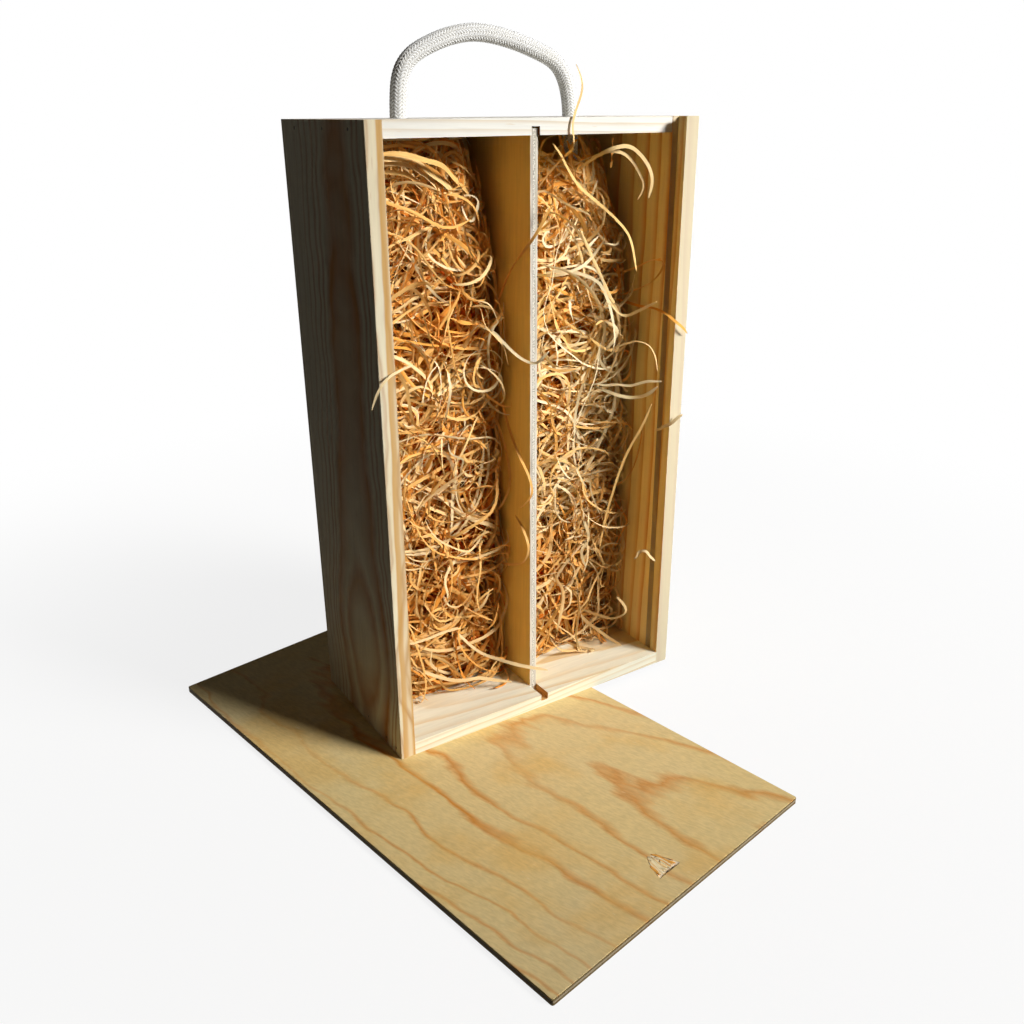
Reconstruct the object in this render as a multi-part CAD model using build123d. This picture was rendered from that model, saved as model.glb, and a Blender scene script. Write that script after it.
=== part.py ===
from build123d import *
import os
from math import atan2, cos, degrees, pi, sin, tan

# Two-bottle wine box, standing upright on its own sliding lid, which lies flat on the ground.
# Millimetres. +Z up, +X to the right along the width, the open front faces -Y.
# The origin is on the ground, under the middle of the box.

# Carcass
box_height = 350.0
box_width = 205.0
box_depth = 104.0
side_thickness = 9.2
end_thickness = 8.5
edge_round = 0.5
cut_margin = 1.0

# Lid and the grooves that it slides in
lid_thickness = 3.8
groove_lip = 6.2
groove_width = 5.2
groove_depth = 4.0
lid_side_clearance = 0.6
lid_end_clearance = 0.5
lid_corner_radius = 1.2
lid_edge_round = 0.4
top_setback = 0.4

# Where the lid lies under the box
lid_centre_x = -60.0
lid_centre_y = -52.9
lid_turn = 10.26
ground_gap = 0.1

# Thumb notch in the lid
notch_width = 16.7
notch_length = 15.2
notch_depth = 1.9
notch_from_end = 13.3
notch_offset = 1.3

# Divider between the bays
divider_thickness = 4.7
slot_play = 0.4
slot_depth = 4.3
divider_setback = 1.6
divider_headroom = 1.0
panel_clearance = 0.3

# Back panel
back_thickness = 3.8
back_inset = 6.0
back_groove_play = 0.3
back_groove_depth = 4.0
back_edge_clearance = 0.5

# Nails, as distances from the front edge
nail_diameter = 1.3
nail_length = 25.0
nail_head_diameter = 2.0
nail_head_thickness = 0.7
nail_head_sunk = 0.4
nail_clearance = 0.02
nail_sides = 12
top_nails = (18.2, 49.0, 85.6)
bottom_nails = (7.0, 19.5, 45.5)

# Rope handle
rope_diameter = 8.8
rope_hole_diameter = 10.0
rope_hole_spacing = 111.4
rope_below_board = 23.5
rope_sides = 16

# Stopper knots
knot_rope_diameter = 6.0
knot_rope_sides = 8
knot_ring_radius = 8.0
knot_strand_offset = 3.9
knot_strand_depth = 4.2
knot_points = 40
knot_cut_angle = 44.0
knot_neck = 5.5
knot_tail_drop = 15.0

# Wood wool heaps, as depths from the back panel and gaps below the top board
wool_clearance = 0.3
wool_depth_middle = 46.9
wool_depth_wall = 34.9
wool_depth_foot = 51.9
wool_headroom = 59.7
wool_shoulder = 40.0
wool_shoulder_bow = 0.3
wool_horn_width = 27.0
wool_horn_depth = 29.9
wool_horn_headroom = 10.7
wool_round = 8.0

# Derived places
base_z = lid_thickness + ground_gap
top_z = base_z + box_height
floor_z = base_z + end_thickness
ceiling_z = top_z - end_thickness
front_y = -box_depth / 2
inner_x = box_width / 2 - side_thickness
top_front_y = front_y + groove_lip + groove_width + top_setback
back_face_y = box_depth / 2 - back_inset - back_thickness
rope_y = (top_front_y + box_depth / 2) / 2
rope_x = rope_hole_spacing / 2
slot_width = divider_thickness + slot_play
lid_width = 2 * (inner_x + groove_depth - lid_side_clearance)
lid_length = box_height - end_thickness - lid_end_clearance


def block(x0, x1, y0, y1, z0, z1):
    """A box between two corners."""
    size = (x1 - x0, y1 - y0, z1 - z0)
    middle = ((x0 + x1) / 2, (y0 + y1) / 2, (z0 + z1) / 2)
    return Pos(*middle) * Box(*size)


def back_groove_y():
    """Front and rear faces of the groove that holds the back panel."""
    return back_face_y - back_groove_play / 2, back_face_y + back_thickness + back_groove_play / 2


def rod(diameter, x0, x1):
    """A straight nail shank or head between two places along X, as a prism of many sides."""
    section = Plane.YZ.offset(x0) * RegularPolygon(diameter / 2, nail_sides)
    return extrude(section, x1 - x0)


def nail(side, y, z, clearance=0.0):
    """One nail driven inwards through a side board, or the hole that it makes."""
    head_x = box_width / 2 - nail_head_sunk
    neck_x = head_x - nail_head_thickness
    tip_x = head_x - nail_length - clearance
    outer_x = head_x if clearance == 0 else box_width / 2 + cut_margin
    driven = rod(nail_diameter + 2 * clearance, tip_x, neck_x)
    driven += rod(nail_head_diameter + 2 * clearance, neck_x, outer_x)
    turned = driven if side > 0 else Rot(0, 0, 180) * driven
    return Pos(0, y, z) * turned


def nail_row(side, distances, z, clearance=0.0):
    """The nails that hold one end board to one side board."""
    return [nail(side, front_y + distance, z, clearance) for distance in distances]


def top_nail_row(side, clearance=0.0):
    return nail_row(side, top_nails, top_z - end_thickness / 2, clearance)


def bottom_nail_row(side, clearance=0.0):
    return nail_row(side, bottom_nails, base_z + end_thickness / 2, clearance)


def side_board(side):
    """A side board, with the lid's groove near the front and the back panel's groove near the rear."""
    outer = box_width / 2
    board = block(inner_x, outer, front_y, box_depth / 2, base_z, top_z)
    board = fillet(board.edges().filter_by(Axis.Z).group_by(Axis.X)[-1], edge_round)
    lid_groove_y = front_y + groove_lip
    board -= block(inner_x - cut_margin, inner_x + groove_depth, lid_groove_y, lid_groove_y + groove_width,
                   base_z - cut_margin, top_z + cut_margin)
    rear0, rear1 = back_groove_y()
    board -= block(inner_x - cut_margin, inner_x + back_groove_depth, rear0, rear1,
                   base_z - cut_margin, top_z + cut_margin)
    for hole in top_nail_row(1, nail_clearance) + bottom_nail_row(1, nail_clearance):
        board -= hole
    return board if side > 0 else mirror(board, Plane.YZ)


def divider_slot(z0, z1):
    """The slot for the divider, open at the board's front edge."""
    rear0, rear1 = back_groove_y()
    return block(-slot_width / 2, slot_width / 2, front_y - cut_margin, rear1, z0, z1)


def top_board():
    """The top board, set back so that the lid passes in front of it, with the two rope holes."""
    board = block(-inner_x, inner_x, top_front_y, box_depth / 2, ceiling_z, top_z)
    rear0, rear1 = back_groove_y()
    board -= divider_slot(ceiling_z - cut_margin, ceiling_z + slot_depth)
    board -= block(-box_width, box_width, rear0, rear1, ceiling_z - cut_margin, ceiling_z + back_groove_depth)
    for x in (-rope_x, rope_x):
        hole = Cylinder(rope_hole_diameter / 2, 2 * end_thickness)
        board -= Pos(x, rope_y, (ceiling_z + top_z) / 2) * hole
    for side in (-1, 1):
        for hole in top_nail_row(side, nail_clearance):
            board -= hole
    return board


def bottom_board():
    """The bottom board, as deep as the side boards; the lid's lower end lands on it."""
    board = block(-inner_x, inner_x, front_y, box_depth / 2, base_z, floor_z)
    rear0, rear1 = back_groove_y()
    board -= divider_slot(floor_z - slot_depth, floor_z + cut_margin)
    board -= block(-box_width, box_width, rear0, rear1, floor_z - back_groove_depth, floor_z + cut_margin)
    for side in (-1, 1):
        for hole in bottom_nail_row(side, nail_clearance):
            board -= hole
    return board


def back_panel():
    """A thin panel held in the rear grooves of all four boards."""
    reach = back_groove_depth - back_edge_clearance
    return block(-inner_x - reach, inner_x + reach, back_face_y, back_face_y + back_thickness,
                 floor_z - reach, ceiling_z + reach)


def divider():
    """The plywood wall between the bays, standing on the floor of its lower slot."""
    bottom = floor_z - slot_depth
    top = ceiling_z + slot_depth - divider_headroom
    return block(-divider_thickness / 2, divider_thickness / 2, top_front_y + divider_setback,
                 back_face_y - panel_clearance, bottom, top)


def thumb_notch():
    """A gouge cut that slopes down to a stop cut: a tilted cylinder, ended by an upright plane.

    Its outline on the lid's face is a rounded tongue. It lies along Y, with the stop cut at y = 0
    and the lid's face at z = 0.
    """
    half = notch_width / 2
    gouge_radius = (half ** 2 + notch_depth ** 2) / (2 * notch_depth)
    tilt = degrees(atan2(notch_depth, notch_length))
    length = 4 * notch_length
    gouge = Rot(90, 0, 0) * Cylinder(gouge_radius, length)
    gouge = Pos(0, 0, gouge_radius) * gouge
    gouge = Pos(0, notch_length, 0) * Rot(tilt, 0, 0) * gouge
    return gouge & block(-notch_width, notch_width, 0, 2 * notch_length, -2 * notch_depth, cut_margin)


def lid():
    """The sliding lid. It lies under the box with its notched end towards the front right."""
    plate = block(-lid_width / 2, lid_width / 2, -lid_length / 2, lid_length / 2, 0, lid_thickness)
    plate = fillet(plate.edges().filter_by(Axis.Z), lid_corner_radius)
    plate = fillet(plate.faces().sort_by(Axis.Z)[-1].edges(), lid_edge_round)
    plate -= Pos(notch_offset, notch_from_end - lid_length / 2, lid_thickness) * thumb_notch()
    return Pos(lid_centre_x, lid_centre_y, 0) * Rot(0, 0, lid_turn) * plate


def arc_radii(points):
    """The radius of the arc at each corner of a route: 0.45 of its shorter run over tan(half turn)."""
    radii = []
    for before, here, after in zip(points, points[1:], points[2:]):
        one = Vector(*here) - Vector(*before)
        two = Vector(*after) - Vector(*here)
        half_turn = one.get_angle(two) / 2 * pi / 180
        radii.append(0.45 * min(one.length, two.length) / tan(half_turn))
    return radii


def tube(points, diameter, sides, path, name, transition=Transition.TRANSFORMED):
    """A tube of many sides along a path. Its section has the area of the round one."""
    area = pi * diameter ** 2 / 4
    corner_radius = (2 * area / (sides * sin(2 * pi / sides))) ** 0.5
    start = Plane(origin=points[0], z_dir=Vector(*points[1]) - Vector(*points[0]))
    solid = sweep(start * RegularPolygon(corner_radius, sides), path=path, transition=transition)
    print(name, "length", round(path.length, 1), "volume over section times length",
          round(solid.volume / (area * path.length), 4))
    return solid


def rope_route():
    """The rope's centre line: up through the left hole, over the arch and down through the right one.

    The heights are above the top board.
    """
    knot = -end_thickness - rope_below_board
    arch = (
        (-55.7, knot), (-55.7, -12.0), (-55.5, 8.5), (-53.6, 21.5), (-47.5, 29.6), (-37.5, 35.0),
        (-24.0, 39.9), (-7.0, 42.6), (14.5, 39.4), (34.5, 33.2), (44.0, 29.2), (50.2, 22.6),
        (53.9, 13.0), (55.5, 1.0), (55.7, -16.0), (55.7, knot),
    )
    return [(x, rope_y, top_z + z) for x, z in arch]


def rope_handle():
    """The rope, along straight runs joined by tangent arcs."""
    route = rope_route()
    radii = arc_radii(route)
    print("rope_handle radii", [round(radius, 1) for radius in radii])
    path = FilletPolyline(*route, radius=radii)
    return tube(route, rope_diameter, rope_sides, path, "rope_handle")


def knot_route():
    """An overhand knot: an open trefoil wound twice round an upright ring, hanging from (0, 0, 0).

    The rope comes down into it at the right and leaves as a short tail beside it.
    """
    cut = knot_cut_angle * pi / 180
    angles = [cut + (4 * pi - 2 * cut) * i / (knot_points - 1) for i in range(knot_points)]
    loop = []
    for angle in angles:
        radius = knot_ring_radius + knot_strand_offset * cos(1.5 * angle)
        loop.append((radius * cos(angle), knot_strand_depth * sin(1.5 * angle), radius * sin(angle)))
    outer = knot_ring_radius + knot_strand_offset
    neck_x = outer + 0.2
    neck_y = loop[-1][1]
    tail_y = loop[0][1]
    head = [(neck_x, neck_y, 0.15 * outer), (neck_x, neck_y, outer + knot_neck)]
    tail = [(outer - 0.6, tail_y + 0.3, -knot_tail_drop), (outer + 0.9, tail_y, -0.25 * outer)]
    route = tail + loop + head
    end = route[-1]
    return [(x - end[0], y - end[1], z - end[2]) for x, y, z in route]


def least_gap(path, diameter, name):
    """Prints the least gap between stretches of a tube that aren't neighbours, measured on points."""
    count = 300
    along = [path.position_at(i / count) for i in range(count + 1)]
    apart = int(2 * diameter / (path.length / count))
    least = min((along[i] - along[j]).length for i in range(count + 1) for j in range(i + apart, count + 1))
    print(name, "least gap to itself", round(least - diameter, 2))


def rope_knot(side):
    """A stopper knot on one end of the rope, its ring turned towards the middle of the bay.

    Its turns are short mitred runs.
    """
    route = knot_route()
    path = Polyline(*route)
    if side > 0:
        least_gap(path, knot_rope_diameter, "rope_knot")
    knot = tube(route, knot_rope_diameter, knot_rope_sides, path, "rope_knot", Transition.RIGHT)
    if side < 0:
        knot = mirror(knot, Plane.YZ)
    return Pos(side * rope_x, rope_y, ceiling_z - rope_below_board) * knot


def wool_heap(side):
    """A heap of wood wool in the rear of one bay, crowned towards the front and rounded at its top."""
    near = slot_width / 2 + wool_clearance
    x0, x1 = (-inner_x + wool_clearance, -near) if side < 0 else (near, inner_x - wool_clearance)
    rear = back_face_y - wool_clearance
    z0 = floor_z + wool_clearance
    z1 = ceiling_z - wool_headroom
    wall_y = rear - wool_depth_wall
    crown_y = rear - wool_depth_middle
    foot_y = rear - wool_depth_foot
    with BuildSketch(Plane.XY.offset(z0)) as plan:
        with BuildLine():
            Line((x1, wall_y), (x1, rear))
            Line((x1, rear), (x0, rear))
            Line((x0, rear), (x0, wall_y))
            ThreePointArc((x0, wall_y), ((x0 + x1) / 2, crown_y), (x1, wall_y))
        make_face()
    heap = extrude(plan.sketch, z1 - z0)
    bow = wool_shoulder_bow * wool_shoulder
    shoulder_z = z1 - wool_shoulder
    with BuildSketch(Plane.YZ.offset(x0 - cut_margin)) as profile:
        with BuildLine():
            Line((rear, z0), (foot_y, z0))
            Line((foot_y, z0), (crown_y, z0 + wool_shoulder))
            Line((crown_y, z0 + wool_shoulder), (crown_y, shoulder_z))
            ThreePointArc((crown_y, shoulder_z), (crown_y + bow, z1 - bow), (crown_y + wool_shoulder, z1))
            Line((crown_y + wool_shoulder, z1), (rear, z1))
            Line((rear, z1), (rear, z0))
        make_face()
    heap = heap & extrude(profile.sketch, x1 - x0 + 2 * cut_margin)
    if side < 0:
        horn_top = ceiling_z - wool_horn_headroom
        horn = block(x0, x0 + wool_horn_width, rear - wool_horn_depth, rear, z0, horn_top)
        horn = fillet(horn.edges().group_by(Axis.Z)[-1], wool_round)
        heap = heap + horn
    return heap


def write(name, shape):
    """Writes one node, as its solid or as a group of separate solids."""
    solids = shape if isinstance(shape, list) else [shape]
    solids = [solid for part in solids for solid in part.solids()]
    whole = solids[0] if len(solids) == 1 else Compound(children=solids)
    export_step(whole, f"parts/{name}.step")


def main():
    os.makedirs("parts", exist_ok=True)
    write("side_board_left", side_board(-1))
    write("side_board_right", side_board(1))
    write("top_board", top_board())
    write("bottom_board", bottom_board())
    write("back_panel", back_panel())
    write("divider", divider())
    write("lid", lid())
    write("nails_left_top", top_nail_row(-1))
    write("nails_left_bottom", bottom_nail_row(-1))
    write("nails_right_top", top_nail_row(1))
    write("nails_right_bottom", bottom_nail_row(1))
    write("rope_handle", rope_handle())
    write("rope_knot_left", rope_knot(-1))
    write("rope_knot_right", rope_knot(1))
    write("wood_wool_left", wool_heap(-1))
    write("wood_wool_right", wool_heap(1))


main()
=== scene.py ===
import math
import bpy
import numpy as np
from mathutils import Matrix, Vector


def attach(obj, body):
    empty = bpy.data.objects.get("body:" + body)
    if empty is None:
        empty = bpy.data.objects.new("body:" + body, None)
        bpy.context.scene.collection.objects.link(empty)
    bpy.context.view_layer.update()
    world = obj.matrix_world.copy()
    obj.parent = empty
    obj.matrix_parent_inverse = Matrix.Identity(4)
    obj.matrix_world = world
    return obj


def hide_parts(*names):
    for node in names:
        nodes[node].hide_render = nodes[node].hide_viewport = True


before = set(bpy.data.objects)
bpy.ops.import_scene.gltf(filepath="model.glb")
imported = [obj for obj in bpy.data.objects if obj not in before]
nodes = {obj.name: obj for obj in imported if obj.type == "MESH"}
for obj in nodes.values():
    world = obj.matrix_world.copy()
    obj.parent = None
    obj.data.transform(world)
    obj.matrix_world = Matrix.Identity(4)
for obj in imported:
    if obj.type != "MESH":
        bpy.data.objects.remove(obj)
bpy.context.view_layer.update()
bpy.context.scene.view_settings.view_transform = "Standard"
print("frame loaded:", len(nodes), "nodes")


# Mesh and node helpers

def addMesh(name, points, faceSets, body, material, tones=None, grainUV=None):
    # points is (n, 3); each face set is (m, 3) or (m, 4) corner numbers, turned outwards
    mesh = bpy.data.meshes.new(name)
    corners = np.concatenate([faces.ravel() for faces in faceSets]).astype(np.int32)
    sizes = np.concatenate([np.full(len(faces), faces.shape[1]) for faces in faceSets])
    starts = np.concatenate([[0], np.cumsum(sizes)[:-1]]).astype(np.int32)
    mesh.vertices.add(len(points))
    mesh.vertices.foreach_set("co", points.astype(np.float32).ravel())
    mesh.loops.add(len(corners))
    mesh.loops.foreach_set("vertex_index", corners)
    mesh.polygons.add(len(sizes))
    mesh.polygons.foreach_set("loop_start", starts)
    mesh.update(calc_edges=True)
    mesh.shade_smooth()
    if tones is not None:
        toneData = mesh.attributes.new("tone", "FLOAT", "POINT").data
        toneData.foreach_set("value", tones.astype(np.float32).ravel())
    if grainUV is not None:
        mesh.uv_layers.new(name="grain").data.foreach_set("uv", grainUV[corners].astype(np.float32).ravel())
    mesh.materials.append(material)
    piece = bpy.data.objects.new(name, mesh)
    bpy.context.scene.collection.objects.link(piece)
    if body:
        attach(piece, body)
    return piece


def tubeFaces(rings, sides):
    # faces of a closed tube whose points are its rings in order, then a middle point for either end
    here = np.arange(sides)
    after = (here + 1) % sides
    ring = np.arange(rings - 1)[:, None] * sides
    walls = np.stack([ring + here, ring + after, ring + sides + after, ring + sides + here], -1)
    last = (rings - 1) * sides
    start = np.stack([np.full(sides, rings * sides), after, here], -1)
    end = np.stack([np.full(sides, rings * sides + 1), last + here, last + after], -1)
    return [walls.reshape(-1, 4), start, end]


def unit(rows):
    return rows / np.linalg.norm(rows, axis=-1, keepdims=True)


def screenColour(red, green, blue):
    # a screen colour of 0 to 255 as the linear colour that a socket takes
    part = np.array([red, green, blue]) / 255
    linear = np.where(part < 0.04045, part / 12.92, ((part + 0.055) / 1.055) ** 2.4)
    return (*linear.tolist(), 1.0)


def startMaterial(name):
    material = bpy.data.materials.new(name)
    material.use_nodes = True
    return material, material.node_tree, material.node_tree.nodes["Principled BSDF"]


def addNode(tree, kind, values=None, **settings):
    # values are numbers or other nodes' outputs, by the input's name or number
    made = tree.nodes.new("ShaderNode" + kind)
    for key, value in settings.items():
        setattr(made, key, value)
    for key, value in (values or {}).items():
        if isinstance(value, bpy.types.NodeSocket):
            tree.links.new(value, made.inputs[key])
        else:
            made.inputs[key].default_value = value
    return made


def maths(tree, operation, first, second=0.0, third=0.0):
    return addNode(tree, "Math", {0: first, 1: second, 2: third}, operation=operation).outputs[0]


def times(tree, first, second):
    return maths(tree, "MULTIPLY", first, second)


def vectors(tree, operation, first, second=(0, 0, 0), output=0):
    return addNode(tree, "VectorMath", {0: first, 1: second}, operation=operation).outputs[output]


def dot(tree, first, second):
    return vectors(tree, "DOT_PRODUCT", first, second, 1)


def objectPlace(tree):
    return addNode(tree, "TexCoord").outputs["Object"]


def facing(tree, direction):
    # 1 where the surface faces the direction, 0 where it lies along it
    return dot(tree, addNode(tree, "NewGeometry").outputs["Normal"], direction)


def combine(tree, x=0.0, y=0.0, z=0.0):
    return addNode(tree, "CombineXYZ", {0: x, 1: y, 2: z}).outputs[0]


def separate(tree, vector):
    return addNode(tree, "SeparateXYZ", {0: vector}).outputs


def between(tree, value, low, high, newLow=0.0, newHigh=1.0):
    # value from low to high becomes newLow to newHigh, smoothly and clamped
    ranged = addNode(tree, "MapRange", {"Value": value, "From Min": low, "From Max": high, "To Min": newLow,
                                        "To Max": newHigh}, interpolation_type="SMOOTHSTEP")
    return ranged.outputs["Result"]


def ramp(tree, value, stops):
    made = addNode(tree, "ValToRGB", {"Fac": value})
    elements = made.color_ramp.elements
    while len(elements) < len(stops):
        elements.new(0.5)
    for element, (position, colour) in zip(elements, stops):
        element.position = position
        element.color = colour if isinstance(colour, tuple) else (colour, colour, colour, 1.0)
    return made.outputs["Color"]


def blendColours(tree, share, first, second, mode="MIX"):
    mixed = addNode(tree, "Mix", data_type="RGBA", blend_type=mode)
    for number, value in ((0, share), (6, first), (7, second)):
        if isinstance(value, bpy.types.NodeSocket):
            tree.links.new(value, mixed.inputs[number])
        else:
            mixed.inputs[number].default_value = value
    return mixed.outputs[2]


def noise(tree, place, scale, detail=2.0, roughness=0.5, output="Fac"):
    return addNode(tree, "TexNoise", {"Vector": place, "Scale": scale, "Detail": detail,
                                      "Roughness": roughness}).outputs[output]


def addRelief(tree, shader, height, strength, depth):
    bump = addNode(tree, "Bump", {"Strength": strength, "Distance": depth, "Height": height})
    tree.links.new(bump.outputs[0], shader.inputs["Normal"])


# Camera

camera = {"place": (-0.30372, -0.48558, 0.35739), "yaw": 0.5731, "pitch": 0.3924, "roll": -0.0069,
          "lens": 34.12, "sensor": 36}


def addCamera():
    # forward from yaw and pitch, then a roll about it
    yaw, pitch = camera["yaw"], camera["pitch"]
    forward = Vector((math.sin(yaw) * math.cos(pitch), math.cos(yaw) * math.cos(pitch), -math.sin(pitch)))
    right = Vector((math.cos(yaw), -math.sin(yaw), 0))
    turn = Matrix((right, right.cross(forward), -forward)).transposed()
    turn = turn @ Matrix.Rotation(camera["roll"], 3, "Z")
    data = bpy.data.cameras.new("camera")
    data.lens = camera["lens"]
    data.sensor_width = camera["sensor"]
    data.clip_start = 0.01
    placed = bpy.data.objects.new("camera", data)
    placed.matrix_world = Matrix.Translation(camera["place"]) @ turn.to_4x4()
    bpy.context.scene.collection.objects.link(placed)
    bpy.context.scene.camera = placed


addCamera()


# Light and floor

light = {"towards": (0.56, -0.71, 0.5), "distance": 2.2, "from": (0, 0, 0.15), "aim": (0.24, -0.06, 0.25),
         "width": 1.0, "height": 0.42, "spread": 34, "power": 4.15, "warmth": (1.0, 0.985, 0.955),
         "fill": (1.0, 0.82, 0.6), "fillFront": 0.035, "fillBack": 0.001}

floor = {"radii": (0.3, 0.8, 2.0, 4.0), "sides": 64, "bounce": 0.012, "white": 0.95, "glow": 0.84,
         "glowFrom": 0.15, "glowTo": 0.7}


def addLight():
    data = bpy.data.lights.new("window", "AREA")
    data.shape = "RECTANGLE"
    data.size = light["width"]
    data.size_y = light["height"]
    data.energy = light["power"]
    data.color = light["warmth"]
    data.spread = math.radians(light["spread"])
    lamp = bpy.data.objects.new("window", data)
    towards = Vector(light["towards"]).normalized()
    lamp.location = Vector(light["from"]) + towards * light["distance"]
    lamp.rotation_euler = (lamp.location - Vector(light["aim"])).to_track_quat("Z", "Y").to_euler()
    bpy.context.scene.collection.objects.link(lamp)


def seenDirectly(tree):
    # 1 for rays that show the background itself, in the picture or in a reflection
    path = addNode(tree, "LightPath")
    shown = maths(tree, "MAXIMUM", path.outputs["Is Camera Ray"], path.outputs["Is Glossy Ray"])
    return maths(tree, "MAXIMUM", shown, path.outputs["Is Transmission Ray"])


def addWorld():
    # a warm room, brighter on the lamp's side, behind a white background
    world = bpy.data.worlds.new("studio")
    world.use_nodes = True
    tree = world.node_tree
    outwards = addNode(tree, "TexCoord").outputs["Generated"]
    lampSide = dot(tree, outwards, Vector(light["towards"]).normalized()[:])
    fill = between(tree, lampSide, -1.0, 1.0, light["fillBack"], light["fillFront"])
    background = tree.nodes["Background"]
    tint = blendColours(tree, seenDirectly(tree), (*light["fill"], 1.0), (1.0, 1.0, 1.0, 1.0))
    tree.links.new(tint, background.inputs["Color"])
    tree.links.new(maths(tree, "MAXIMUM", fill, seenDirectly(tree)), background.inputs["Strength"])
    bpy.context.scene.world = world


def addFloor():
    # a disc: rings of points at growing radii round the middle; white as seen, but dark to the light that
    # it would throw back, and glowing more with the distance, so that it runs into the background
    material, tree, shader = startMaterial("floorWhite")
    shown = seenDirectly(tree)
    whiteness = between(tree, shown, 0.0, 1.0, floor["bounce"], floor["white"])
    tree.links.new(whiteness, shader.inputs["Base Color"])
    shader.inputs["Roughness"].default_value = 0.9
    away = vectors(tree, "LENGTH", objectPlace(tree), output=1)
    glow = times(tree, between(tree, away, floor["glowFrom"], floor["glowTo"], floor["glow"], 1.0), shown)
    white = addNode(tree, "Emission", {"Color": (1, 1, 1, 1), "Strength": 1.0})
    mixed = addNode(tree, "MixShader", {0: glow, 1: shader.outputs[0], 2: white.outputs[0]})
    tree.links.new(mixed.outputs[0], tree.nodes["Material Output"].inputs["Surface"])
    radii, sides = np.array(floor["radii"]), floor["sides"]
    here = np.arange(sides)
    after = (here + 1) % sides
    angles = here * 2 * np.pi / sides
    rings = radii[:, None, None] * np.stack([np.cos(angles), np.sin(angles), 0 * angles], -1)[None]
    points = np.concatenate([rings.reshape(-1, 3), [[0, 0, 0]]])
    inner = np.arange(len(radii) - 1)[:, None] * sides
    quads = np.stack([inner + here, inner + sides + here, inner + sides + after, inner + after], -1)
    middle = np.stack([np.full(sides, len(points) - 1), here, after], -1)
    addMesh("floor", points, [quads.reshape(-1, 4), middle], None, material)


addLight()
addWorld()
addFloor()
print("camera, light and floor placed")


# Wood: growth rings are shells round a leaning pith, so a board's faces, edges and ends cut the same rings.
# along is the grain's direction and across the two directions over it; pith is where the rings' middle
# lies, lean how far it wanders per metre of board, ring the rings' spacing, all in metres.

openFront = (0, -1, 0)  # the way that the box's open side faces
ringProfile = [(0.0, 0.12), (0.12, 0.0), (0.55, 0.1), (0.86, 0.85), (0.94, 1.0), (1.0, 0.12)]


def ringPlaces(tree, look):
    # the way along the grain, and the two ways over it
    moved = vectors(tree, "SUBTRACT", objectPlace(tree), look["pith"])
    along = Vector(look["along"])
    grain = dot(tree, moved, along[:])
    spread = []
    for direction, lean in zip(look["across"], look["lean"]):
        spread.append(dot(tree, moved, (Vector(direction) + lean * along)[:]))
    if "swell" in look:
        # the rings bulge round a place along the board, as beside a branch: depth times e to the power of
        # minus the squared distance from it
        swell = look["swell"]
        off = maths(tree, "DIVIDE", maths(tree, "SUBTRACT", grain, swell["at"]), swell["reach"])
        bulge = maths(tree, "POWER", math.e, times(tree, times(tree, off, off), -1.0))
        spread[0] = maths(tree, "MULTIPLY_ADD", bulge, swell["depth"], spread[0])
    return grain, spread


def drawnOut(tree, grain, spread, crosswise, lengthwise):
    # a place for noise that is drawn out along the grain
    return combine(tree, times(tree, spread[0], crosswise), times(tree, spread[1], crosswise),
                   times(tree, grain, lengthwise))


def radiusFromPith(tree, look, grain, spread, slow):
    # distance from the pith, bent by slow noise
    bent = noise(tree, slow, look.get("warpScale", 28.0), look.get("warpDetail", 2.0), 0.55, "Color")
    bent = vectors(tree, "SUBTRACT", bent, (0.5, 0.5, 0.5))
    bent = vectors(tree, "MULTIPLY", bent, (look["warp"], look["warp"], 0))
    if "jag" in look:
        # small steep waves that pull the ring lines out into fingers along the grain
        fingers = combine(tree, spread[0], 0.0, times(tree, grain, 0.22))
        fingers = noise(tree, fingers, look["jag"]["scale"], 2.0, 0.6)
        fingers = times(tree, maths(tree, "SUBTRACT", fingers, 0.5), look["jag"]["size"])
        bent = vectors(tree, "ADD", bent, combine(tree, y=fingers))
    flat = combine(tree, spread[0], spread[1])
    return vectors(tree, "LENGTH", vectors(tree, "ADD", flat, bent), output=1)


def ringDarkness(tree, look, radius, fibre, patches):
    # either dark lines at the radii that the look gives, each a radius, a width and a darkness, or evenly
    # spaced rings, each darkening slowly outwards and ending sharply
    if "rings" in look:
        ragged = maths(tree, "MULTIPLY_ADD", fibre, 0.0009, radius)
        stops = [(0.0, 0.0)]
        for place, width, dark in look["rings"]:
            stops += [(place - width, 0.0), (place - 0.3 * width, dark), (place + 0.0006, 0.0)]
        late = ramp(tree, times(tree, ragged, 6.0), [(6 * place, dark) for place, dark in stops])
        return times(tree, late, between(tree, patches, 0.3, 0.6, 0.75, 1.1))
    ringNumber = maths(tree, "MULTIPLY_ADD", fibre, 0.15, maths(tree, "DIVIDE", radius, look["ring"]))
    late = ramp(tree, maths(tree, "FRACT", ringNumber), look.get("profile", ringProfile))
    own = addNode(tree, "TexWhiteNoise", {"W": maths(tree, "FLOOR", ringNumber)}, noise_dimensions="1D")
    strength = maths(tree, "MULTIPLY_ADD", own.outputs["Value"], look["uneven"], look["strength"])
    return times(tree, late, times(tree, strength, between(tree, patches, 0.3, 0.6, 0.65, 1.1)))


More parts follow.
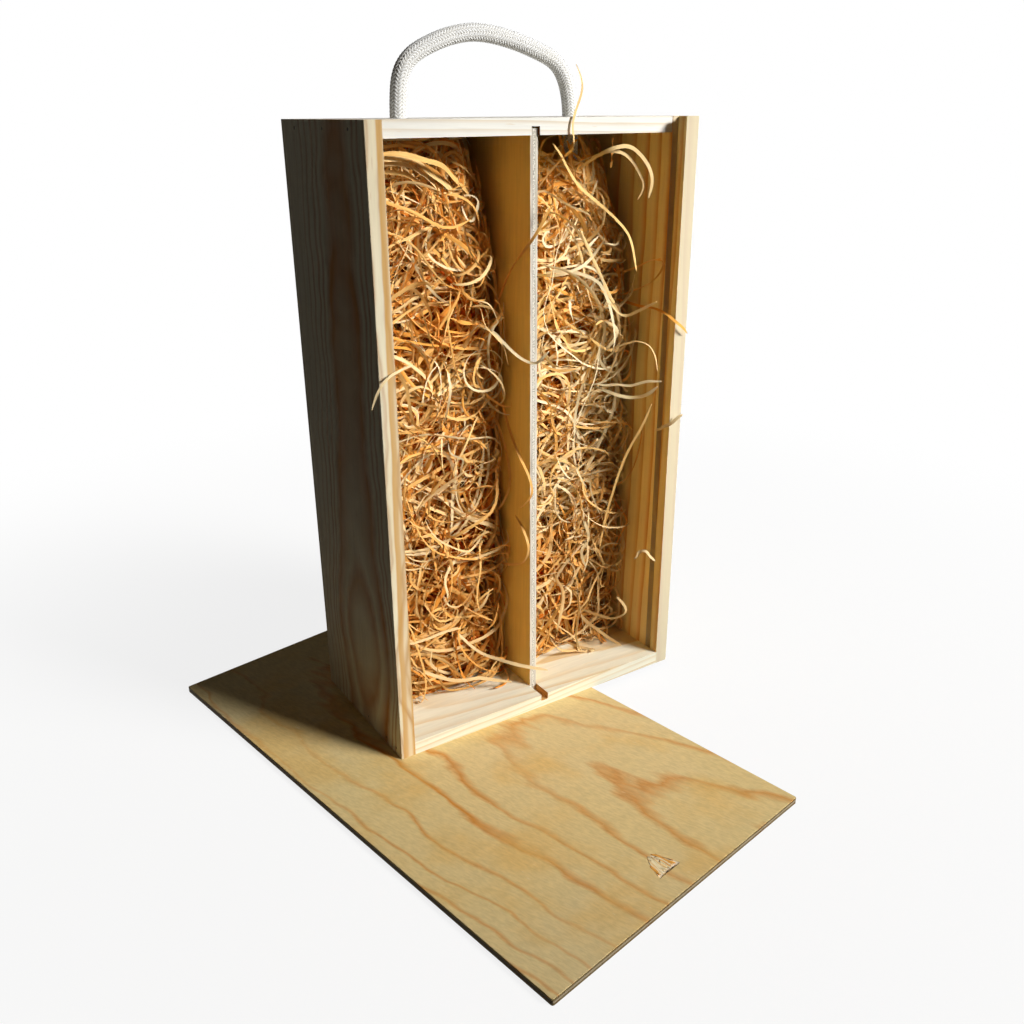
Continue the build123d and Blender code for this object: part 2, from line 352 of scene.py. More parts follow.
def woodColour(tree, look):
    # early and late wood, then clouds of blush and tan, dark streaks, resin ducts and waves over the grain
    grain, spread = ringPlaces(tree, look)
    slow = combine(tree, spread[0], spread[1], times(tree, grain, look.get("stretch", 0.22)))
    fine = look.get("fine", 1.0)
    fibre = noise(tree, drawnOut(tree, grain, spread, 420.0 * fine, 26.0 * fine), 1.0, 3.0, 0.6)
    radius = radiusFromPith(tree, look, grain, spread, slow)
    lateness = ringDarkness(tree, look, radius, fibre, noise(tree, slow, 14.0))
    colour = blendColours(tree, lateness, look["early"], look["late"])
    cloud = between(tree, noise(tree, slow, 9.0, 3.0), 0.35, 0.7, 0.0, look.get("cloud", 0.35))
    colour = blendColours(tree, cloud, colour, look["blush"])
    if "tan" in look:
        warm = between(tree, noise(tree, slow, 22.0, 3.0), 0.45, 0.7, 0.0, 0.6)
        colour = blendColours(tree, warm, colour, look["tan"])
    streaks = ramp(tree, between(tree, fibre, 0.25, 0.75), [(0.0, 0.25), (1.0, 1.0)])
    colour = blendColours(tree, look.get("streak", 0.14), colour, streaks, "MULTIPLY")
    ducts = noise(tree, drawnOut(tree, grain, spread, 900.0, 90.0), 1.0, 1.0)
    ducts = between(tree, ducts, 0.7, 0.78, 0.0, 0.3)
    colour = blendColours(tree, ducts, colour, look.get("ductColour", look["late"]))
    if "ripple" in look:
        waves = combine(tree, times(tree, spread[0], 26.0), z=times(tree, grain, 150.0))
        waves = ramp(tree, noise(tree, waves, 1.0), [(0.3, 0.6), (0.7, 1.0)])
        colour = blendColours(tree, look["ripple"], colour, waves, "MULTIPLY")
    return colour, lateness, fibre


def finishWood(tree, shader, look, colour, lateness, fibre):
    # sheen and relief follow the rings and the fibres
    rough = look.get("rough", 0.6)
    tree.links.new(colour, shader.inputs["Base Color"])
    tree.links.new(between(tree, fibre, 0.2, 0.8, rough + 0.08, rough - 0.06), shader.inputs["Roughness"])
    shader.inputs["Specular IOR Level"].default_value = 0.03
    addRelief(tree, shader, maths(tree, "MULTIPLY_ADD", lateness, 0.5, fibre), 0.35, 0.00018)


def cutRing(tree, tan):
    # share of a tan growth ring that is cut open along the front edge's inner side, wider towards the
    # foot: it starts at x = foot + perMetre times the height, give or take some wander
    x, _, z = separate(tree, objectPlace(tree))
    wander = noise(tree, combine(tree, z=z), 18.0, 3.0)
    outer = maths(tree, "MULTIPLY_ADD", z, tan["perMetre"], tan["foot"] - tan["wander"] / 2)
    outer = maths(tree, "MULTIPLY_ADD", wander, tan["wander"], outer)
    inwards = times(tree, maths(tree, "SUBTRACT", x, outer), 100.0)
    return times(tree, ramp(tree, inwards, tan["band"]), between(tree, facing(tree, openFront), 0.6, 0.8))


def slotWalls(tree, low, high):
    # 1 on the sawn walls of the divider's slot, inside the board, whose faces are at low and high; a darker
    # brown is painted there as the slot's shade
    x, _, z = separate(tree, objectPlace(tree))
    sideways = between(tree, maths(tree, "ABSOLUTE", facing(tree, openFront)), 0.4, 0.6, 1.0, 0.0)
    sawn = times(tree, between(tree, maths(tree, "ABSOLUTE", x), 0.0028, 0.0032, 1.0, 0.0), sideways)
    sawn = times(tree, sawn, between(tree, z, low, low + 0.0001))
    return times(tree, sawn, between(tree, z, high - 0.0001, high, 1.0, 0.0))


def woodMaterial(name, look):
    material, tree, shader = startMaterial(name)
    colour, lateness, fibre = woodColour(tree, look)
    if "paintedFrontLight" in look:
        # painted light: paler on the edge that faces the front, towards the lamp
        litFront = between(tree, facing(tree, openFront), 0.6, 0.8, 0.0, 0.82)
        colour = blendColours(tree, litFront, colour, look["paintedFrontLight"])
    if "frontTan" in look:
        colour = blendColours(tree, cutRing(tree, look["frontTan"]), colour, look["frontTan"]["colour"])
    # painted shade: the slot's walls inside the board are coloured darker brown
    if "slotShadeBrown" in look:
        colour = blendColours(tree, slotWalls(tree, *look["slotHeights"]), colour, look["slotShadeBrown"])
    finishWood(tree, shader, look, colour, lateness, fibre)
    return material


def plyMaterial(name, look):
    # two long-grain plies with a cross ply between them; the edges are raw and darker
    material, tree, shader = startMaterial(name)
    colour, lateness, fibre = woodColour(tree, look)
    place = objectPlace(tree)
    edge = between(tree, maths(tree, "ABSOLUTE", facing(tree, look["through"])), 0.55, 0.75, 1.0, 0.0)
    endwise = between(tree, maths(tree, "ABSOLUTE", facing(tree, look["along"])), 0.55, 0.75)
    if "rimPale" in look:
        bare = ramp(tree, fibre, [(0.35, look["rimDark"]), (0.6, look["rimPale"])])
        colour = blendColours(tree, edge, colour, bare)
    rim = blendColours(tree, endwise, look["sideTint"], look["endTint"])
    colour = blendColours(tree, edge, colour, blendColours(tree, 1.0, colour, rim, "MULTIPLY"))
    depth = dot(tree, vectors(tree, "SUBTRACT", place, look["face"]), look["through"])
    share = maths(tree, "DIVIDE", depth, look["thickness"])
    inside = times(tree, between(tree, share, 0.3, 0.33), between(tree, share, 0.67, 0.7, 1.0, 0.0))
    cross = ramp(tree, noise(tree, place, 1500.0), [(0.3, look["crossDark"]), (0.55, look["crossPale"])])
    cross = blendColours(tree, endwise, cross, look["crossLong"])
    colour = blendColours(tree, inside, colour, cross)
    glueLines = [maths(tree, "ABSOLUTE", maths(tree, "SUBTRACT", share, line)) for line in (0.315, 0.685)]
    glue = between(tree, maths(tree, "MINIMUM", *glueLines), 0.012, 0.035, 0.7, 0.0)
    colour = blendColours(tree, glue, colour, look["glue"])
    if "gouge" in look:
        # inside the thumb notch the torn fibres are cream with brown streaks
        gouge, thickness = look["gouge"], look["thickness"]
        away = vectors(tree, "DISTANCE", place, gouge["middle"], 1)
        near = between(tree, away, gouge["reach"], gouge["reach"] + 0.002, 1.0, 0.0)
        sunk = between(tree, depth, thickness - 0.0003, thickness - 0.0001, 1.0, 0.0)
        torn = ramp(tree, fibre, [(0.38, gouge["brown"]), (0.5, gouge["cream"])])
        colour = blendColours(tree, times(tree, near, sunk), colour, torn)
    finishWood(tree, shader, look, colour, lateness, fibre)
    return material


pineLeft = {"along": (0, 0, 1), "across": ((1, 0, 0), (0, 1, 0)), "pith": (-0.0656, -0.0115, 0.17),
            "lean": (-0.02, 0.0246), "warp": 0.008, "warpScale": 15.0, "stretch": 1.5,
            "swell": {"at": -0.105, "reach": 0.035, "depth": 0.0105},
            "rings": [(0.0345, 0.0075, 0.85), (0.0445, 0.0093, 1.0), (0.0472, 0.0013, 0.7),
                      (0.0504, 0.0014, 0.8), (0.0552, 0.0013, 0.65), (0.0598, 0.0012, 0.5),
                      (0.066, 0.0016, 0.2)],
            "early": screenColour(238, 228, 200), "late": screenColour(176, 118, 60),
            "blush": screenColour(228, 208, 168),
            "frontTan": {"foot": -0.1012, "perMetre": 0.0125, "wander": 0.004,
                         "band": [(0.0, 0.0), (0.09, 0.9), (0.3, 0.75), (0.42, 0.3), (0.58, 0.3),
                                  (0.72, 0.95)],
                         "colour": screenColour(206, 160, 92)}}

pineRight = {"along": (0, 0, 1), "across": ((1, 0, 0), (0, 1, 0)), "pith": (0.165, 0.03, 0.17),
             "lean": (0.01, 0.012), "ring": 0.0062, "warp": 0.006, "warpScale": 16.0, "stretch": 0.4,
             "strength": 0.45, "uneven": 0.5, "early": screenColour(255, 232, 164),
             "late": screenColour(212, 134, 58), "blush": screenColour(246, 202, 124),
             "paintedFrontLight": screenColour(217, 207, 184)}

pineTop = {"along": (1, 0, 0), "across": ((0, 1, 0), (0, 0, 1)), "pith": (-0.02, 0.01, 0.315),
           "lean": (0.01, 0.035), "ring": 0.0024, "warp": 0.006, "warpScale": 12.0, "strength": 0.3,
           "uneven": 0.4, "early": screenColour(250, 249, 243), "late": screenColour(224, 200, 160),
           "blush": screenColour(248, 245, 234), "slotShadeBrown": screenColour(140, 84, 40),
           "slotHeights": (0.3454, 0.3538)}

pineBottom = {"along": (1, 0, 0), "across": ((0, 1, 0), (0, 0, 1)), "pith": (0.03, -0.02, -0.052),
              "lean": (0.02, -0.03), "ring": 0.0036, "warp": 0.007, "strength": 0.5, "uneven": 0.5,
              "early": screenColour(246, 242, 222), "late": screenColour(228, 198, 144),
              "blush": screenColour(244, 236, 208), "slotShadeBrown": screenColour(214, 168, 104),
              "slotHeights": (0.004, 0.0123)}

plyLid = {"along": (-0.17812, 0.98401, 0), "across": ((0.98401, 0.17812, 0), (0, 0, 1)),
          "pith": (0.0275, -0.2108, -0.0142), "lean": (0.2, 0.245), "warp": 0.02, "warpScale": 17.0,
          "warpDetail": 3.0, "stretch": 0.8, "jag": {"scale": 70.0, "size": 0.016}, "fine": 2.0,
          "streak": 0.2, "cloud": 0.5,
          "rings": [(0.0195, 0.007, 0.8), (0.0402, 0.006, 0.85), (0.0602, 0.005, 0.8),
                    (0.0792, 0.0035, 0.85), (0.0945, 0.005, 1.0), (0.1148, 0.0026, 0.75),
                    (0.1302, 0.002, 0.7), (0.1413, 0.002, 0.75), (0.1512, 0.002, 0.8)],
          "early": screenColour(240, 215, 154), "late": screenColour(222, 144, 52),
          "blush": screenColour(236, 218, 172), "tan": screenColour(242, 198, 116),
          "ductColour": screenColour(244, 228, 184), "ripple": 0.14,
          "face": (0, 0, 0), "through": (0, 0, 1), "thickness": 0.0038,
          "sideTint": screenColour(200, 194, 182), "endTint": screenColour(140, 134, 124),
          "crossPale": screenColour(130, 112, 86), "crossDark": screenColour(84, 68, 48),
          "crossLong": screenColour(176, 160, 132), "glue": screenColour(62, 54, 44), "rough": 0.46,
          "gouge": {"middle": (-0.0322, -0.1996, 0.0038), "reach": 0.013,
                    "cream": screenColour(252, 240, 214), "brown": screenColour(216, 172, 118)}}

plyDivider = {"along": (0, 0, 1), "across": ((0, 1, 0), (1, 0, 0)), "pith": (0.05, 0.02, 0.1),
              "lean": (0.03, 0.0), "ring": 0.03, "warp": 0.03, "warpScale": 14.0, "strength": 0.14,
              "uneven": 0.2, "profile": [(0.0, 0.2), (0.1, 0.0), (0.6, 0.1), (0.9, 0.9), (1.0, 0.2)],
              "early": screenColour(255, 218, 124), "late": screenColour(220, 144, 58),
              "blush": screenColour(242, 190, 96),
              "face": (-0.00235, 0, 0), "through": (1, 0, 0), "thickness": 0.0047,
              "sideTint": screenColour(246, 244, 240), "endTint": screenColour(200, 190, 176),
              "crossPale": screenColour(232, 228, 216), "crossDark": screenColour(128, 116, 98),
              "crossLong": screenColour(222, 210, 184), "glue": screenColour(168, 160, 146),
              "rimPale": screenColour(236, 232, 222), "rimDark": screenColour(190, 182, 168)}

plyBack = dict(plyDivider, across=((1, 0, 0), (0, 1, 0)), pith=(0.01, 0.09, 0.1), strength=0.4,
               face=(0, 0.0422, 0), through=(0, 1, 0), thickness=0.0038)


def nailSteel():
    # dull wire steel with darker rust-brown spots
    material, tree, shader = startMaterial("nailSteel")
    spots = noise(tree, objectPlace(tree), 2600.0, 3.0)
    rusty = ramp(tree, spots, [(0.35, screenColour(26, 22, 20)), (0.7, screenColour(62, 56, 50))])
    tree.links.new(rusty, shader.inputs["Base Color"])
    tree.links.new(between(tree, spots, 0.3, 0.7, 0.65, 0.4), shader.inputs["Roughness"])
    shader.inputs["Metallic"].default_value = 0.8
    return material


def dressBoards():
    looks = {"side_board_left": woodMaterial("pineLeft", pineLeft),
             "side_board_right": woodMaterial("pineRight", pineRight),
             "top_board": woodMaterial("pineTop", pineTop),
             "bottom_board": woodMaterial("pineBottom", pineBottom),
             "divider": plyMaterial("plyDivider", plyDivider), "lid": plyMaterial("plyLid", plyLid),
             "back_panel": plyMaterial("plyBack", plyBack)}
    steel = nailSteel()
    for row in ("left_top", "left_bottom", "right_top", "right_bottom"):
        looks["nails_" + row] = steel
    for name, material in looks.items():
        nodes[name].data.materials.clear()
        nodes[name].data.materials.append(material)


dressBoards()
print("boards, plywood and nails finished")


# Rope: a braid, which is columns of stitches, carried along a smooth line. The arch's places and the knot's
# sizes are in millimetres.

rope = {"diameter": 0.0088, "columns": 12, "perColumn": 8, "row": 0.0017, "perRow": 6, "relief": 0.00042,
        "slant": 1.15, "drawn": 0.3, "hole": 0.0557, "depth": 0.0059, "board": 0.3539, "below": 0.032,
        "arch": ((-55.7, -32.0), (-55.7, -12.0), (-55.5, 8.5), (-53.6, 21.5), (-47.5, 29.6), (-37.5, 35.0),
                 (-24.0, 39.9), (-7.0, 42.6), (14.5, 39.4), (34.5, 33.2), (44.0, 29.2), (50.2, 22.6),
                 (53.9, 13.0), (55.5, 1.0), (55.7, -16.0), (55.7, -32.0))}

knot = {"diameter": 0.006, "columns": 8, "perColumn": 6, "row": 0.0016, "perRow": 4, "relief": 0.0003,
        "slant": 1.1, "drawn": 0.0, "ringRadius": 8.0, "strandOffset": 3.9, "strandDepth": 4.2, "count": 40,
        "cut": 44, "neck": 5.5, "tail": 15.0}


def smoothLine(name, route, resolution):
    # the points of a NURBS spline whose control points are the route
    curve = bpy.data.curves.new(name, "CURVE")
    curve.dimensions = "3D"
    spline = curve.splines.new("NURBS")
    spline.points.add(len(route) - 1)
    spline.points.foreach_set("co", np.c_[np.array(route), np.ones(len(route))].ravel())
    spline.order_u = 3
    spline.use_endpoint_u = True
    spline.resolution_u = resolution
    drawn = bpy.data.objects.new(name, curve)
    bpy.context.scene.collection.objects.link(drawn)
    bpy.context.view_layer.update()
    mesh = bpy.data.meshes.new_from_object(drawn)
    line = np.empty(len(mesh.vertices) * 3)
    mesh.vertices.foreach_get("co", line)
    bpy.data.objects.remove(drawn)
    bpy.data.meshes.remove(mesh)
    return line.reshape(-1, 3)


def evenly(line, count):
    # the same line as count points at equal distances along it, and its length
    along = np.concatenate([[0], np.cumsum(np.linalg.norm(np.diff(line, axis=0), axis=1))])
    wanted = np.linspace(0, along[-1], count)
    return np.stack([np.interp(wanted, along, line[:, axis]) for axis in range(3)], -1), along[-1]


def braid(name, line, look, body, material):
    # radius = mean + relief times the stitches' height: each stitch is a parabola along its row, the rows
    # lean left and right by turns from column to column, and each column rounds off towards its edges
    sides = look["columns"] * look["perColumn"]
    _, length = evenly(line, 2)
    count = int(length / look["row"] * look["perRow"])
    path, length = evenly(line, count)
    tangent = unit(np.gradient(path, axis=0))
    first = unit(np.array([0, 1, 0]) - tangent * tangent[:, 1:2])
    second = np.cross(tangent, first)
    turn = np.arange(sides) / sides
    column = turn * look["columns"]
    across = column % 1 - 0.5
    lean = np.where(np.floor(column) % 2 == 0, 1, -1) * look["slant"]
    rows = (np.linspace(0, length, count) / look["row"])[:, None] + (lean * across)[None]
    stitch = 1 - (2 * (rows % 1) - 1) ** 2
    height = stitch * (0.25 + 0.75 * np.sqrt(1 - (1.9 * across) ** 2))[None]
    # drawn thinner over the last 12 mm at each end, where the knots pull it
    fromEnd = np.minimum(np.arange(count), np.arange(count)[::-1]) * length / count
    drawn = 1 - look["drawn"] * np.clip(1 - fromEnd / 0.012, 0, 1) ** 1.5
    radius = look["diameter"] / 2 * drawn[:, None] + look["relief"] * (height - 0.6)
    angle = 2 * np.pi * turn[None, :, None]
    section = np.cos(angle) * first[:, None] + np.sin(angle) * second[:, None]
    points = (path[:, None] + radius[..., None] * section).reshape(-1, 3)
    points = np.concatenate([points, path[:1], path[-1:]])
    # the stitches' height, which the cotton turns into painted shade where it is low, in the grooves
    tones = np.concatenate([height.ravel(), [0.5, 0.5]])
    return addMesh(name, points, tubeFaces(count, sides), body, material, tones), path


def cottonRope():
    # off-white cotton with fine yarn lines, greyer and warmer in the grooves as painted shade
    material, tree, shader = startMaterial("cottonRope")
    place = objectPlace(tree)
    raised = addNode(tree, "Attribute", attribute_name="tone").outputs["Fac"]
    yarn = noise(tree, place, 2400.0)
    paintedGrooveShade = ramp(tree, raised, [(0.05, screenColour(148, 141, 128)), (0.45, screenColour(236, 236, 234)),
                                 (0.95, screenColour(248, 250, 252))])
    stain = between(tree, noise(tree, place, 60.0, 3.0), 0.45, 0.7, 0.0, 0.3)
    colour = blendColours(tree, stain, paintedGrooveShade, screenColour(238, 234, 222))
    colour = blendColours(tree, 0.25, colour, ramp(tree, yarn, [(0.3, 0.6), (0.6, 1.0)]), "MULTIPLY")
    tree.links.new(colour, shader.inputs["Base Color"])
    shader.inputs["Roughness"].default_value = 0.85
    shader.inputs["Sheen Weight"].default_value = 0.25
    addRelief(tree, shader, yarn, 0.4, 0.0001)
    return material


def ropeRoute():
    return [(x / 1000, rope["depth"], rope["board"] + z / 1000) for x, z in rope["arch"]]


def knotRoute(side):
    # overhand knot: an open trefoil, radius = ring + offset cos(3a/2), depth = sin(3a/2), wound twice; its
    # neck goes up into the rope's hole and its tail hangs down
    cut = math.radians(knot["cut"])
    angles = np.linspace(cut, 4 * np.pi - cut, knot["count"])
    radius = knot["ringRadius"] + knot["strandOffset"] * np.cos(1.5 * angles)
    depth = knot["strandDepth"] * np.sin(1.5 * angles)
    loop = np.stack([radius * np.cos(angles), depth, radius * np.sin(angles)], -1)
    outer = knot["ringRadius"] + knot["strandOffset"]
    head = [(outer + 0.2, depth[-1], 0.15 * outer), (outer + 0.2, depth[-1], outer + knot["neck"])]
    tail = [(outer - 0.6, depth[0] + 0.3, -knot["tail"]), (outer + 0.9, depth[0], -0.25 * outer)]
    route = np.concatenate([tail, loop, head])
    route = (route - route[-1]) * (side, 1, 1) / 1000
    return route + np.array([side * rope["hole"], rope["depth"], rope["board"] - rope["below"]])


def addRope():
    cotton = cottonRope()
    handle, path = braid("ropeHandle", smoothLine("ropeLine", ropeRoute(), 40), rope, "handle", cotton)
    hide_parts("rope_handle")
    for name, side in (("left", -1), ("right", 1)):
        line = smoothLine("knotLine", knotRoute(side), 12)
        tied, _ = braid("ropeKnot_" + name, line, knot, "handle", cotton)
        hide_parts("rope_knot_" + name)


addRope()
print("rope and knots braided")


# Wood wool: thin shavings, each a long low triangle in section, curled and pressed into a heap

# knotColumn is the space that the rope's ends need: from x to x, behind y and above z. A bay's front is
# given by its depths at the outer wall, the middle and the divider, and its top by its heights at these
# and at three quarters of the way.
wool = {"steps": 22, "looseSteps": 44, "thickness": 0.00026, "untidy": 0.12, "back": 0.0412,
        "floor": 0.0128, "ceiling": 0.345, "slope": 0.55, "overTop": 0.03, "paintedShadingHeights": (0.05, 0.18, 0.31),
        "paintedShadeDepth": 0.014, "flankOver": 0.005, "knotColumn": (0.0288, 0.0617, 0.0003, 0.2866),
        "curtainFrom": (0.024, 0.28), "curtainDepth": (-0.011, -0.001), "fringe": (0.026, 0.004),
        "flank": 0.0018, "flankTop": 0.27, "core": {"inset": 0.003, "behind": 0.014, "ripple": 0.0016}}

# a bay's paintedShading lifts or lowers its strands' tones at three heights: painted light and shade
leftBay = {"name": "left", "outerWall": -0.0931, "divider": -0.00255, "front": (0.003, -0.007, -0.001),
           "top": (0.40, 0.355, 0.305, 0.262), "foot": 0.005, "curtainTop": 0.338, "curtainReach": 0.066,
           "paintedShading": (-0.08, 0.02, -0.05), "seed": 11}

rightBay = {"name": "right", "outerWall": 0.0931, "divider": 0.00255, "front": (-0.001, -0.007, -0.002),
            "top": (0.266, 0.296, 0.288, 0.284), "foot": 0.003, "curtainTop": 0.326, "curtainReach": 0.082,
            "paintedShading": (0.06, 0.2, 0.0), "seed": 23}


def heapTop(bay, share):
    return np.interp(share, (0, 0.5, 0.75, 1), bay["top"])


def heapFront(bay, x, z):
    # a parabola through the front's three depths, lumps as sums of sines, a foot that spreads on the
    # floor, and above the top a slope back to the panel
    share = (x - bay["outerWall"]) / (bay["divider"] - bay["outerWall"])
    outer, middle, inner = bay["front"]
    base = (outer * 2 * (share - 0.5) * (share - 1) + middle * 4 * share * (1 - share)
            + inner * 2 * share * (share - 0.5))
    lumps = 0.0028 * np.sin(95 * x + 60 * z + bay["seed"]) + 0.003 * np.sin(52 * z + 1.3 * np.sin(60 * x))
    roll = wool["slope"] * np.clip(z - heapTop(bay, share), 0, None)
    foot = np.clip(1 - (z - wool["floor"]) / 0.05, 0, 1) ** 2 * bay["foot"]
    return np.minimum(base + lumps + roll, wool["back"] - 0.006) - foot


def within(value, low, high, firmness):
    # leaves the middle alone and presses what reaches past an end flat against it
    middle, half = (low + high) / 2, (high - low) / 2
    share = (value - middle) / half
    return middle + half * share / (1 + np.abs(share) ** firmness) ** (1 / firmness)


def curls(dice, centres, kind, leader):
    # direction angle = start + bend s + change s squared + small crimps, in a random plane that mostly
    # faces the front; place = the sum of the steps, with a slow wave out of the plane. The strands of a
    # bundle share their leader's plane, bend and start, a little changed.
    count, steps = len(centres), wool["steps"]
    normal = unit(dice.normal(size=(count, 3)) * kind["facing"])[leader]
    normal = unit(normal + dice.normal(0, wool["untidy"], (count, 3)))
    side = unit(np.cross(normal, dice.normal(size=(count, 3))[leader]))
    other = np.cross(normal, side)
    length = (dice.uniform(*kind["length"], count)[leader] * dice.uniform(0.75, 1.2, count))[:, None]
    along = np.linspace(-0.5, 0.5, steps)[None] * length
    turns = dice.uniform(*kind["turns"], (count, 1)) * dice.choice((-1, 1), (count, 1))
    bend = 2 * np.pi * turns[leader] * dice.uniform(0.85, 1.15, (count, 1)) / length
    change = dice.normal(0, 0.7, (count, 1))[leader] * bend / length
    crimps = np.cumsum(np.clip(dice.standard_t(2.5, (count, steps)) * kind["crimp"] / 2, -0.6, 0.6), 1)
    start = dice.uniform(0, 2 * np.pi, (count, 1))[leader] + dice.normal(0, wool["untidy"], (count, 1))
    angle = start + bend * along + change * along ** 2 + crimps
    step = length / (steps - 1)
    flat = np.cumsum(np.stack([np.cos(angle), np.sin(angle)], -1) * step[..., None], 1)
    wave = kind["wave"] * np.sin(2 * np.pi * (along / 0.05 + dice.uniform(size=(count, 1))))
    path = flat[..., :1] * side[:, None] + flat[..., 1:] * other[:, None]
    path = path + wave[..., None] * normal[:, None]
    return path - path.mean(1, keepdims=True) + centres[:, None], normal


def ribbons(name, path, normal, width, dice, body, material, tones, spread=0.8):
    # section = two thin edges and a low ridge; the flat side mostly faces along the curl's normal and
    # turns slowly about the ribbon's line; the two thin edges are sharp
    count, steps = path.shape[:2]
    tangent = unit(np.gradient(path, axis=1))
    upright = normal[:, None] - tangent * np.sum(normal[:, None] * tangent, -1, keepdims=True)
    upright = unit(upright + 1e-9)
    sideways = np.cross(tangent, upright)
    along = np.linspace(-0.5, 0.5, steps)[None, :, None]
    twist = dice.normal(0, spread, (count, 1, 1)) + dice.normal(0, 1.9 * spread, (count, 1, 1)) * along
    across = np.cos(twist) * sideways + np.sin(twist) * upright
    narrow = 1 - 0.7 * np.abs(2 * along) ** 8
    half = width[:, None, None] / 2 * narrow * across
    points = np.stack([path - half, path + half, path + wool["thickness"] * np.cross(across, tangent)], 2)
    first = (np.arange(count)[:, None, None] * steps + np.arange(steps - 1)[None, :, None]) * 3
    here = np.arange(3)
    after = (here + 1) % 3
    quads = np.stack([first + here, first + 3 + here, first + 3 + after, first + after], -1).reshape(-1, 4)
    heads = (np.arange(count) * steps * 3)[:, None]
    tails = heads + (steps - 1) * 3
    # along the ribbon 60 a metre, each from its own start, and across it from 0 to 1
    length = np.cumsum(np.linalg.norm(np.diff(path, axis=1, prepend=path[:, :1]), axis=2), 1)
    lengthwise = length[:, :, None] * 60 + 37.0 * np.arange(count)[:, None, None]
    grainUV = np.stack(np.broadcast_arrays(lengthwise, np.array([0.0, 1.0, 0.5])), -1).reshape(-1, 2)
    shade = np.repeat(tones.reshape(count, -1) * np.ones((1, steps)), 3)
    faceSets = [quads, heads + here, tails + here[::-1]]
    piece = addMesh(name, points.reshape(-1, 3), faceSets, body, material, shade, grainUV)
    ends = np.empty(len(piece.data.edges) * 2, np.int32)
    piece.data.edges.foreach_get("vertices", ends)
    ends = ends.reshape(-1, 2) % 3
    sharp = (ends[:, 0] == ends[:, 1]) & (ends[:, 0] < 2)
    piece.data.attributes.new("sharp_edge", "BOOLEAN", "EDGE").data.foreach_set("value", sharp)
    return piece


def shavings():
    # tone runs from orange-tan to cream, with fine lines along each shaving
    material, tree, shader = startMaterial("woodWool")
    tone = addNode(tree, "Attribute", attribute_name="tone").outputs["Fac"]
    grainUV = addNode(tree, "UVMap", uv_map="grain").outputs[0]
    lines = noise(tree, vectors(tree, "MULTIPLY", grainUV, (1.0, 7.0, 1.0)), 1.0, 3.0)
    colour = ramp(tree, tone, [(0.0, screenColour(236, 124, 36)), (0.35, screenColour(250, 182, 86)),
                               (0.7, screenColour(249, 211, 140)), (1.0, screenColour(250, 236, 196))])
    darker = ramp(tree, lines, [(0.3, (0.62, 0.40, 0.22, 1.0)), (0.62, (1.0, 1.0, 1.0, 1.0))])
    colour = blendColours(tree, 0.4, colour, darker, "MULTIPLY")
    # painted shade: darker towards the box's floor; the lid's fibres, lower still, are left as they are
    quarters = times(tree, separate(tree, objectPlace(tree))["Z"], 4.0)
    paintedFootShade = (0.82, 0.72, 0.6, 1.0)
    foot = ramp(tree, quarters, [(0.03, 1.0), (0.045, paintedFootShade), (0.2, paintedFootShade), (0.8, 1.0)])
    colour = blendColours(tree, 1.0, colour, foot, "MULTIPLY")
    tree.links.new(colour, shader.inputs["Base Color"])
    shader.inputs["Roughness"].default_value = 0.42
    shader.inputs["Specular IOR Level"].default_value = 0.07
    addRelief(tree, shader, lines, 0.3, 0.0001)
    return material


def heapCore():
    # packed shavings deep in the heap, with crossing bright lines: dark brown on the front behind the
    # strands, as painted shade, and paler where the heap's sides and back show once it is pulled out
    material, tree, shader = startMaterial("heapCore")
    lines = []
    for stretch in ((420, 420, 60), (90, 420, 380)):
        lines.append(noise(tree, vectors(tree, "MULTIPLY", objectPlace(tree), stretch), 1.0))
    crossing = maths(tree, "MAXIMUM", *lines)
    deep = ramp(tree, crossing, [(0.45, screenColour(92, 36, 8)), (0.7, screenColour(160, 84, 28))])
    outer = ramp(tree, crossing, [(0.45, screenColour(168, 104, 46)), (0.7, screenColour(232, 178, 104))])
    paintedShadeInFront = between(tree, facing(tree, openFront), 0.8, 0.95)
    tree.links.new(blendColours(tree, paintedShadeInFront, outer, deep), shader.inputs["Base Color"])
    shader.inputs["Roughness"].default_value = 0.8
    addRelief(tree, shader, crossing, 0.8, 0.001)
    return material


def partOfHeap(bay, piece):
    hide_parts("wood_wool_" + bay["name"])


def squared(wave):
    # a sine or cosine pressed outwards, so that a circle becomes a rounded rectangle
    return np.sign(wave) * np.abs(wave) ** 0.3


def addCore(bay, material):
    # a rounded rectangle carried up the bay, its front following the heap's, some way behind it
    levels, sides, core = 60, 64, wool["core"]
    z = np.linspace(wool["floor"] + 0.001, wool["knotColumn"][3] - 0.004, levels)[:, None]
    angle = (np.arange(sides) * 2 * np.pi / sides)[None]
    low, high = sorted((bay["outerWall"], bay["divider"]))
    x = (low + high) / 2 + ((high - low) / 2 - core["inset"]) * squared(np.cos(angle)) + 0 * z
    back = wool["back"]
    front = np.minimum(heapFront(bay, x, z) + core["behind"], back - 0.004)
    y = (back + front) / 2 + (back - front) / 2 * squared(np.sin(angle))
    y = y + core["ripple"] * np.sin(210 * x + 40 * z) * np.sin(190 * z) * (np.sin(angle) < 0)
    points = np.stack([x, y, z + 0 * x], -1).reshape(-1, 3)
    ends = [points[:sides].mean(0), points[-sides:].mean(0)]
    partOfHeap(bay, addMesh("woolCore_" + bay["name"], np.concatenate([points, ends]),
                            tubeFaces(levels, sides), "wool_" + bay["name"], material))


def clearOfKnot(path, centreY):
    # the rope's end and its knot need their column free, at rest and as they lift: strands in front of it
    # are pressed forward, and the others that cross it are left out
    low, high, front, bottom = wool["knotColumn"]
    x = np.abs(path[..., 0])
    column = (x > low) & (x < high) & (path[..., 2] > bottom)
    ahead = (centreY < 0.005)[:, None]
    path[..., 1] = np.where(column & ahead, np.minimum(path[..., 1], front - 0.0006), path[..., 1])
    return ~np.any(column & (path[..., 1] > front), axis=1)


